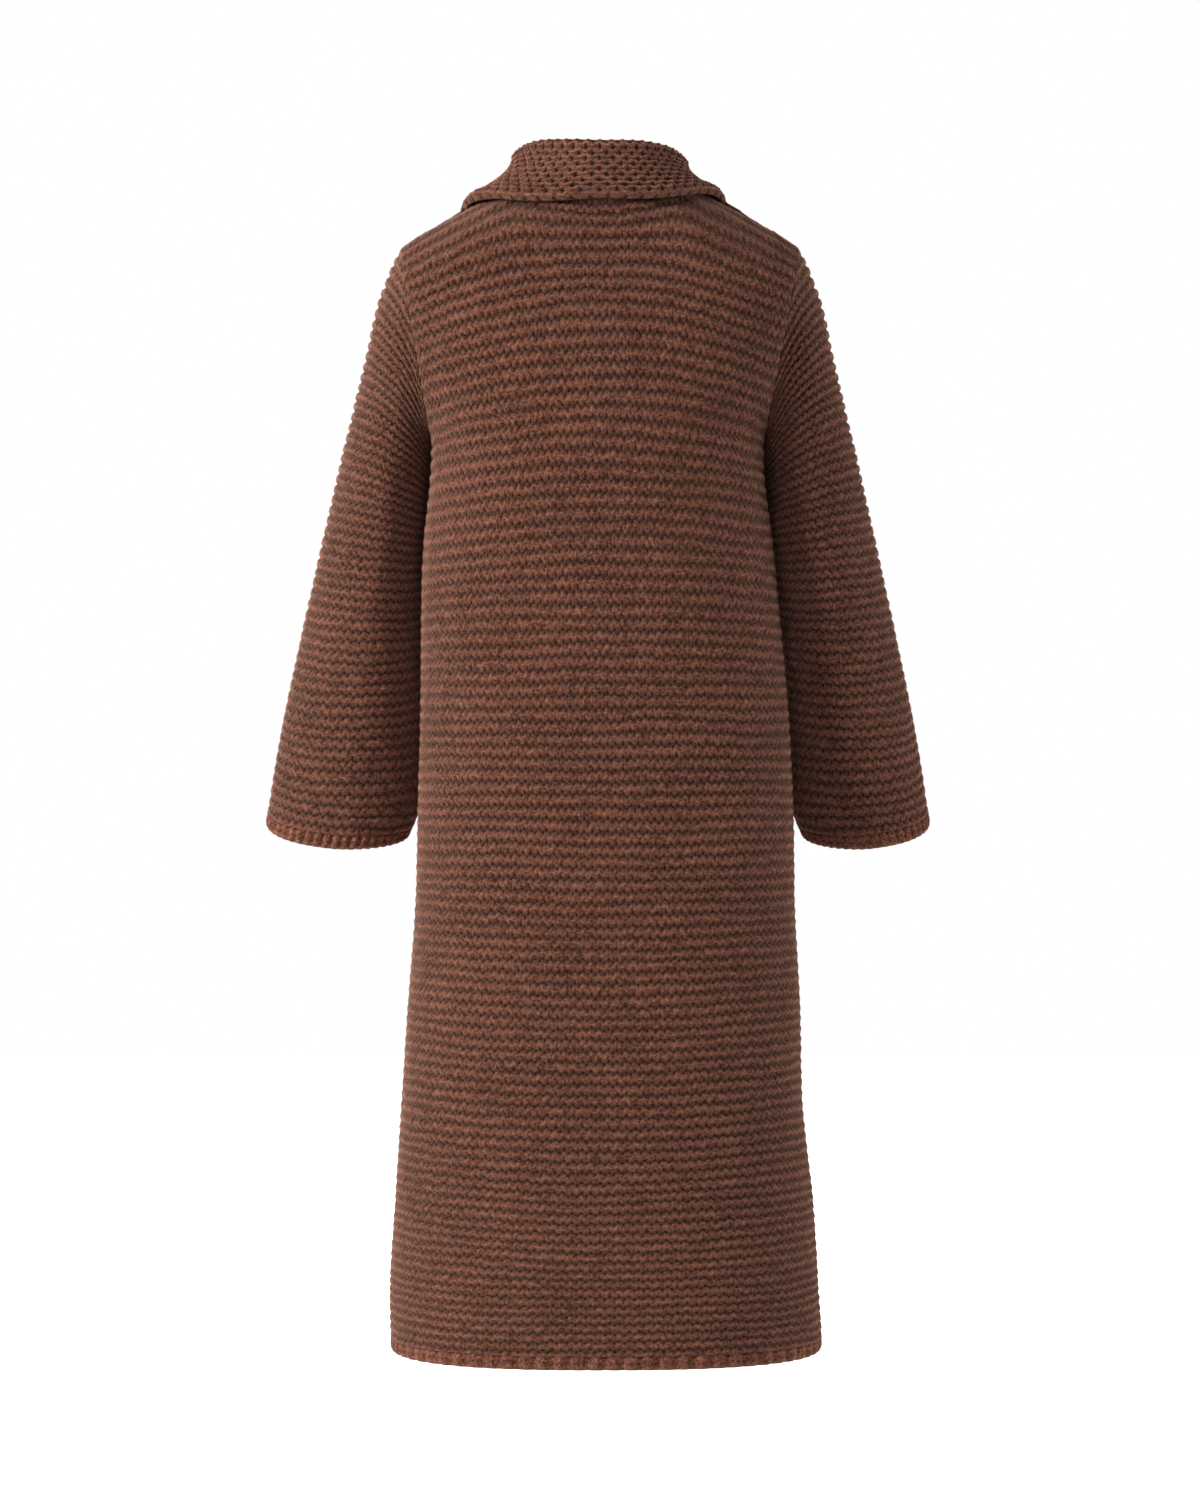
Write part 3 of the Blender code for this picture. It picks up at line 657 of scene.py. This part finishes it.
def collarHalf(along, side):
    # the middle of the cloth from its base over the fold to its edge, and the way along the fold
    base = collarBase(along, side)
    reach = 1 if side > 0 else collarForm["rightReach"]
    toFold = np.stack([readCurve(collarCurve, k, along) for k in ("foldX", "foldY", "foldZ")], -1)
    toFold[:, 2] += readCurve(collarCurve, "leftLift", along) * (side > 0)
    fold = base + toFold * [side, 1, 1]
    edge = shoulderPoint(readCurve(collarCurve, "edgeX", along) * reach,
                         readCurve(collarCurve, "edgeWrap", along),
                         collarForm["clearance"], side)
    stand = np.linalg.norm(fold - base, axis=1, keepdims=True)
    up = (fold - base) / stand
    out = edge - fold
    out -= (out * up).sum(axis=1, keepdims=True) * up
    out /= np.linalg.norm(out, axis=1, keepdims=True)
    radius = collarForm["foldRadius"]
    start = fold + 2 * radius * out
    length = np.linalg.norm(edge - start, axis=1, keepdims=True)
    drape = -up * np.minimum(length, 2 * stand)
    standSteps, turnSteps, fallSteps = (
        np.linspace(0, 1, ridges * rows + 1)[1:] for ridges, rows in collarCloth["stretches"])
    rows = [base] + [base + (fold - base) * t for t in standSteps]
    for angle in np.pi * turnSteps:
        rows.append(fold + radius * (out * (1 - np.cos(angle)) + up * np.sin(angle)))
    for t in fallSteps:
        curve = start * (1 + 2 * t) * (1 - t) ** 2 + edge * t * t * (3 - 2 * t)
        rows.append(curve + drape * t * (1 - t) ** 2 + (edge - start) * t * t * (t - 1))
    return np.array(rows), np.cross(up, out)


def makeCollar(finish):
    cloth = collarCloth
    half = cloth["stitches"] * cloth["columnsPerStitch"] // 2
    along = np.linspace(0, 1, half + 1)
    left, leftTurn = collarHalf(along, 1)
    right, rightTurn = collarHalf(along, -1)
    middle = np.concatenate([right[:, :0:-1], left], axis=1)
    for _ in range(collarForm["eased"]):
        middle[:, 1:-1] += (middle[:, :-2] + middle[:, 2:] - 2 * middle[:, 1:-1]) / 4
    turn = np.concatenate([rightTurn[:0:-1], leftTurn])
    face = -np.cross(turn, np.gradient(middle, axis=0))
    face *= bodyForm["wall"] / 2 / np.linalg.norm(face, axis=2, keepdims=True)
    stitch = np.linspace(-cloth["stitches"] / 2, cloth["stitches"] / 2, 2 * half + 1)[None, :]
    steps = [np.full(ridges * rows, 1 / rows) for ridges, rows in cloth["stretches"]]
    ridge = np.concatenate([[0], np.cumsum(np.concatenate(steps))])[:, None]
    toEdge = arcs(middle, 0)
    toEdge = (toEdge[-1:] - toEdge - cloth["rollPlace"]) / cloth["rollWidth"]
    crest = middle + face * (1 + cloth["roll"] * np.exp(-toEdge**2))[..., None]
    outer = garter(crest, middle - face, stitch, ridge, collarRidges, False,
                   {"bottom": foldedRim, "left": foldedRim, "right": foldedRim})
    collar = clothWall("collarKnit", outer, middle - face, counts(stitch, ridge),
                       cloth["insideSteps"], False)
    declare(collar, finish, ["collar"])


# Ribbed hem bands

hemCloth = {
    "backRibs": 36, "frontRibs": 18, "columnsPerRib": 10, "rows": 8, "insideSteps": (4, 5),
    "backFlat": (0.599, 0.013), "frontFlat": (0.287, 0.013), "held": "hung",
}


def makeHem(name, side, facing, node, finish):
    cloth = hemCloth
    ribs, flat = ((cloth["backRibs"], cloth["backFlat"]) if facing > 0 else
                  (cloth["frontRibs"], cloth["frontFlat"]))
    top = bodyForm["hemSeamHeight"] - bodyForm["seamGap"]
    heights = np.linspace(top, bodyForm["hemHeight"], cloth["rows"] + 1)[:, None]
    columns = ribs * cloth["columnsPerRib"]
    fine = np.linspace(0, 1, fineRing)[None, :]

    def rows(inset):
        if facing < 0:
            turn = frontEdgeTurn(heights, side) * fine
            return evenColumns(bodyPoint(turn, heights, inset, side, -1), columns)
        turn = np.pi * np.minimum(fine, 1 - fine)
        left = bodyPoint(turn, heights, inset, 1, 1)
        right = bodyPoint(turn, heights, inset, -1, 1)
        return evenColumns(np.where(fine[..., None] < 0.5, left, right), columns)

    rib = np.linspace(0, ribs, columns + 1)[None, :]
    row = np.linspace(0, bandRibs["stitchRows"], len(heights))[:, None]
    inner = rows(bodyForm["wall"])
    outer = ribbed(rows(0), inner, rib, row, bandRibs, False, {"bottom": foldedRim})
    hem = clothWall(name, outer, inner, counts(rib, row), cloth["insideSteps"], False)
    declare(hem, finish, [node])


# Looks: small helpers, then the groups that the knits share


def feed(tree, sockets, values):
    for socket, value in zip(sockets, values):
        if isinstance(value, bpy.types.NodeSocket):
            tree.links.new(value, socket)
        elif value is not None:
            socket.default_value = value


def maths(tree, operation, *values):
    step = tree.nodes.new("ShaderNodeMath")
    step.operation = operation
    feed(tree, step.inputs, values)
    return step.outputs[0]


def blend(tree, share, first, second):
    # a mix of two colours
    step = tree.nodes.new("ShaderNodeMix")
    step.data_type = "RGBA"
    feed(tree, [step.inputs[0], step.inputs[6], step.inputs[7]], (share, first, second))
    return step.outputs[2]


def span(tree, value, low, high, smooth=True):
    # how far a value is from low to high, as 0 to 1
    step = tree.nodes.new("ShaderNodeMapRange")
    step.interpolation_type = "SMOOTHSTEP" if smooth else "LINEAR"
    feed(tree, step.inputs, (value, low, high, 0.0, 1.0))
    return step.outputs[0]


def noise(tree, vector, grain):
    # grain is the noise's scale, detail and roughness
    step = tree.nodes.new("ShaderNodeTexNoise")
    tree.links.new(vector, step.inputs["Vector"])
    for name, value in zip(("Scale", "Detail", "Roughness"), grain):
        step.inputs[name].default_value = value
    return step.outputs


def shaderGroup(name, inputs, outputs):
    # an empty group with number sockets, its inputs by name, and the node that its outputs feed
    group = bpy.data.node_groups.new(name, "ShaderNodeTree")
    for socket in inputs:
        group.interface.new_socket(socket, in_out="INPUT", socket_type="NodeSocketFloat")
    for socket in outputs:
        group.interface.new_socket(socket, in_out="OUTPUT", socket_type="NodeSocketFloat")
    source = group.nodes.new("NodeGroupInput")
    return group, source.outputs, group.nodes.new("NodeGroupOutput").inputs


def useGroup(tree, group, **values):
    step = tree.nodes.new("ShaderNodeGroup")
    step.node_tree = group
    feed(tree, [step.inputs[name] for name in values], values.values())
    return step.outputs


holes = {"wander": (0.9, 1.0, 0.5), "perStitch": 2.0, "halfWidth": 0.40, "rim": 1.0, "core": 0.15}
knitNumbers = ("Wander", "Bend", "Offset", "Second", "Narrow", "Size", "Alternate")


def makeGarterGroup():
    # from stitch and ridge counts: the valleys, and the small holes above and below them
    tree, given, made = shaderGroup(
        "garterStitch", ("Stitch", "Ridge", *knitNumbers), ("Height", "Hole", "Valley"))
    place = tree.nodes.new("ShaderNodeCombineXYZ")
    feed(tree, place.inputs, (given["Stitch"], given["Ridge"], 0.0))
    wander = tree.nodes.new("ShaderNodeSeparateXYZ")
    tree.links.new(noise(tree, place.outputs[0], holes["wander"])["Color"], wander.inputs[0])

    def moved(count, sway):
        return maths(tree, "MULTIPLY_ADD", maths(tree, "SUBTRACT", sway, 0.5),
                     given["Wander"], count)

    def nearest(count):
        return maths(tree, "SUBTRACT", maths(tree, "FRACT", maths(tree, "ADD", count, 0.5)), 0.5)

    stitch = moved(given["Stitch"], wander.outputs[0])
    ridge = moved(given["Ridge"], wander.outputs[1])
    turned = maths(tree, "ADD", maths(tree, "ROUND", ridge), 1.0)
    turned = maths(tree, "MULTIPLY", maths(tree, "MULTIPLY", turned, given["Alternate"]), math.pi)
    loop = maths(tree, "COSINE", maths(tree, "MULTIPLY_ADD", stitch, 2 * math.pi, turned))
    bent = maths(tree, "MULTIPLY_ADD", loop, given["Bend"], ridge)
    valley = maths(tree, "POWER", maths(tree, "ABSOLUTE", maths(
        tree, "COSINE", maths(tree, "MULTIPLY", bent, math.pi))), given["Narrow"])
    down = nearest(maths(tree, "MULTIPLY_ADD", loop, given["Offset"], ridge))
    across = nearest(maths(tree, "MULTIPLY", stitch, holes["perStitch"]))
    down = maths(tree, "POWER", maths(tree, "DIVIDE", down, given["Size"]), 2.0)
    across = maths(tree, "POWER", maths(tree, "DIVIDE", across, holes["halfWidth"]), 2.0)
    hole = span(tree, maths(tree, "ADD", down, across), holes["rim"], holes["core"])
    second = span(tree, loop, -1.0, 1.0, False)
    second = maths(tree, "MULTIPLY_ADD", maths(tree, "SUBTRACT", 1.0, second),
                   maths(tree, "SUBTRACT", given["Second"], 1.0), 1.0)
    hole = maths(tree, "MULTIPLY", hole, second)
    height = maths(tree, "SUBTRACT", 1.0, maths(tree, "MAXIMUM", hole, valley))
    feed(tree, made, (height, hole, valley))
    return tree


tones = (  # grain, the values that go to 0 and 1, and the share of the yarn's tone
    ((16.0, 2.0, 0.6), (0.32, 0.68), 0.12),  # slow changes down the yarn
    ((150.0, 1.0, 0.5), (0.30, 0.70), 0.18),  # from loop to loop
    ((430.0, 2.0, 0.8), (0.36, 0.64), 0.70),  # fibres
)
flecks = {"grain": (330.0, 0.0, 0.5), "from": 0.62, "to": 0.74}
fuzzGrain = (600.0, 2.0, 0.8)


def makeFibreGroup():
    # heathered yarn: slow and quick changes of tone, flecks and stray fibres
    tree, given, made = shaderGroup("woolFibre", (), ("Tone", "Fleck", "Fuzz"))
    place = tree.nodes.new("ShaderNodeTexCoord").outputs["Object"]
    tone = 0.0
    for grain, (low, high), share in tones:
        part = span(tree, noise(tree, place, grain)["Fac"], low, high)
        tone = maths(tree, "MULTIPLY_ADD", part, share, tone)
    fleck = noise(tree, place, flecks["grain"])["Fac"]
    fuzz = noise(tree, place, fuzzGrain)["Fac"]
    feed(tree, made, (tone, span(tree, fleck, flecks["from"], flecks["to"]), fuzz))
    return tree


garterGroup = makeGarterGroup()
fibreGroup = makeFibreGroup()
yarn = {
    "dark": (0.034, 0.011, 0.007, 1), "light": (0.400, 0.157, 0.104, 1),
    # the second colour here is the painted shade that the knit's valleys and holes are darkened
    # toward
    "fleck": (0.480, 0.190, 0.095, 1), "paintedShade": (0.016, 0.006, 0.004, 1),
    "roughness": 0.95, "specular": 0.12,
    "sheen": 0.35, "sheenRoughness": 0.35, "sheenTint": (1.0, 0.66, 0.54, 1),
    # painted sheen: the colour is lightened toward this colour where the surface turns away from
    # view, standing in for lit fuzz at the edges
    "paintedSheen": 0.42, "paintedSheenFrom": 0.55, "paintedSheenColour": (0.72, 0.36, 0.25, 1), "fleckShare": 0.5,
}


def makeWool(name, look):
    material = bpy.data.materials.new(name)
    material.use_nodes = True
    tree = material.node_tree
    shader = tree.nodes["Principled BSDF"]
    layer = tree.nodes.new("ShaderNodeUVMap")
    layer.uv_map = "stitches"
    place = tree.nodes.new("ShaderNodeSeparateXYZ")
    tree.links.new(layer.outputs[0], place.inputs[0])
    knit = useGroup(tree, garterGroup, Stitch=place.outputs[0], Ridge=place.outputs[1],
                    **{number: look[number.lower()] for number in knitNumbers})
    fibre = useGroup(tree, fibreGroup)
    colour = blend(tree, fibre["Tone"], yarn["dark"], yarn["light"])
    fleck = maths(tree, "MULTIPLY", fibre["Fleck"], yarn["fleckShare"])
    colour = blend(tree, fleck, colour, yarn["fleck"])
    # painted shade: the knit's valleys and holes are darkened toward the painted shade colour
    shade = maths(tree, "MAXIMUM", maths(tree, "MULTIPLY", knit["Valley"], look["valleyShade"]),
                  maths(tree, "MULTIPLY", knit["Hole"], look["holeShade"]))
    # painted sheen: the colour is lightened at grazing angles, as lit fuzz at the edges would look
    facing = tree.nodes.new("ShaderNodeLayerWeight")
    facing.inputs["Blend"].default_value = 0.5
    paintedSheen = span(tree, facing.outputs["Facing"], yarn["paintedSheenFrom"], 1.0)
    paintedSheen = maths(tree, "MULTIPLY", paintedSheen, yarn["paintedSheen"])
    colour = blend(tree, paintedSheen, colour, yarn["paintedSheenColour"])
    colour = blend(tree, shade, colour, yarn["paintedShade"])
    tree.links.new(colour, shader.inputs["Base Color"])
    normal = None
    for height, depth in ((knit["Height"], look["relief"]), (fibre["Fuzz"], look["fuzz"])):
        bump = tree.nodes.new("ShaderNodeBump")
        bump.inputs["Distance"].default_value = depth
        tree.links.new(height, bump.inputs["Height"])
        if normal:
            tree.links.new(normal, bump.inputs["Normal"])
        normal = bump.outputs[0]
    tree.links.new(normal, shader.inputs["Normal"])
    shader.inputs["Roughness"].default_value = yarn["roughness"]
    shader.inputs["Specular IOR Level"].default_value = yarn["specular"]
    shader.inputs["Sheen Weight"].default_value = yarn["sheen"]
    shader.inputs["Sheen Roughness"].default_value = yarn["sheenRoughness"]
    shader.inputs["Sheen Tint"].default_value = yarn["sheenTint"]
    print(name, "ready")
    return material


looks = {  # how the knit's holes and valleys lie, how dark the shade painted into them is, and how deep the bump is
    "bodyWool": {"wander": 0.25, "bend": 0.05, "offset": 0.15, "second": 1.0, "narrow": 2.2,
                 "size": 0.18, "alternate": 0.0, "valleyShade": 0.62, "holeShade": 0.97,
                 "relief": 0.0026, "fuzz": 0.0030},
    "collarWool": {"wander": 0.15, "bend": 0.0, "offset": 0.0, "second": 0.10, "narrow": 4.0,
                   "size": 0.38, "alternate": 1.0, "valleyShade": 0.12, "holeShade": 1.0,
                   "relief": 0.0030, "fuzz": 0.0022},
    "bandWool": {"wander": 0.10, "bend": 0.0, "offset": 0.0, "second": 1.0, "narrow": 2.0,
                 "size": 0.16, "alternate": 0.0, "valleyShade": 0.30, "holeShade": 0.30,
                 "relief": 0.0010, "fuzz": 0.0022},
}
bodyWool, collarWool, bandWool = (makeWool(name, looks[name]) for name in looks)

makeBack(bodyWool)
makeFront("frontLeftKnit", 1, "front_left", bodyWool)
makeFront("frontRightKnit", -1, "front_right", bodyWool)
for side, word in ((1, "Left"), (-1, "Right")):
    lower = word.lower()
    makeSleeve("sleeve" + word + "Knit", side, "sleeve_" + lower, bodyWool)
    makeCuff("cuff" + word + "Knit", side, "cuff_" + lower, bandWool)
    makeHem("hemFront" + word + "Knit", side, -1, "hem_front_" + lower,
            bandWool)
makeHem("hemBackKnit", 1, 1, "hem_back", bandWool)
makeCollar(collarWool)

# Studio: a white floor and surround, a soft key light at the wearer's left, and weaker fills

studio = {
    "floorHeight": -1.30, "floorSize": 12.0, "floorGrey": (0.8, 0.8, 0.8, 1),
    "floorRoughness": 0.9, "surround": 0.12, "white": (1, 1, 1, 1),
    "cameraPlace": (0, 4.0, -0.549), "lens": 98, "frameHeight": 36,
}
areaLights = (
    {"name": "keyLight", "place": (3.0, 1.9, 0.5), "aim": (0, 0, -0.60), "size": 1.2,
     "power": 134, "colour": (1.0, 0.95, 0.90)},
    {"name": "frontLight", "place": (0.3, 2.2, 3.0), "aim": (0, 0, -0.02), "size": 1.2,
     "power": 42, "colour": (1.0, 0.97, 0.94)},
    {"name": "rimLight", "place": (-3.0, -0.5, -0.2), "aim": (0, 0, -0.60), "size": 1.2,
     "power": 46, "colour": (1.0, 0.96, 0.92)},
    {"name": "farLight", "place": (0.6, -3.0, 0.6), "aim": (0, 0, -0.60), "size": 2.0,
     "power": 110, "colour": (1.0, 0.96, 0.92)},
)


def aimed(thing, place, aim):
    thing.location = place
    way = Vector(aim) - Vector(place)
    thing.rotation_euler = way.to_track_quat("-Z", "Y").to_euler()
    bpy.context.scene.collection.objects.link(thing)


def makeFloor():
    mesh = bpy.data.meshes.new("floor")
    bm = bmesh.new()
    bmesh.ops.create_grid(bm, x_segments=1, y_segments=1, size=studio["floorSize"] / 2)
    bm.to_mesh(mesh)
    bm.free()
    material = bpy.data.materials.new("floorWhite")
    material.use_nodes = True
    tree = material.node_tree
    shader = tree.nodes["Principled BSDF"]
    shader.inputs["Base Color"].default_value = studio["floorGrey"]
    shader.inputs["Roughness"].default_value = studio["floorRoughness"]
    shader.inputs["Emission Color"].default_value = studio["white"]
    seen = tree.nodes.new("ShaderNodeLightPath").outputs["Is Camera Ray"]
    tree.links.new(seen, shader.inputs["Emission Strength"])
    mesh.materials.append(material)
    floor = bpy.data.objects.new("floor", mesh)
    floor.location.z = studio["floorHeight"]
    bpy.context.scene.collection.objects.link(floor)


def makeSurround():
    world = bpy.data.worlds.new("surround")
    bpy.context.scene.world = world
    world.use_nodes = True
    tree = world.node_tree
    seen = tree.nodes.new("ShaderNodeLightPath").outputs["Is Camera Ray"]
    strength = maths(tree, "MULTIPLY_ADD", seen, 1 - studio["surround"], studio["surround"])
    tree.nodes["Background"].inputs["Color"].default_value = studio["white"]
    tree.links.new(strength, tree.nodes["Background"].inputs["Strength"])


def makeLights():
    for choice in areaLights:
        lamp = bpy.data.lights.new(choice["name"], "AREA")
        lamp.size = choice["size"]
        lamp.energy = choice["power"]
        lamp.color = choice["colour"]
        aimed(bpy.data.objects.new(choice["name"], lamp), choice["place"], choice["aim"])


def makeCamera():
    lens = bpy.data.cameras.new("photoView")
    lens.sensor_fit = "VERTICAL"
    lens.sensor_height = studio["frameHeight"]
    lens.lens = studio["lens"]
    camera = bpy.data.objects.new("photoView", lens)
    x, y, z = studio["cameraPlace"]
    aimed(camera, (x, y, z), (x, 0, z))
    bpy.context.scene.camera = camera


makeFloor()
makeSurround()
makeLights()
makeCamera()
bpy.context.scene.view_settings.view_transform = "Standard"
print("studio ready")
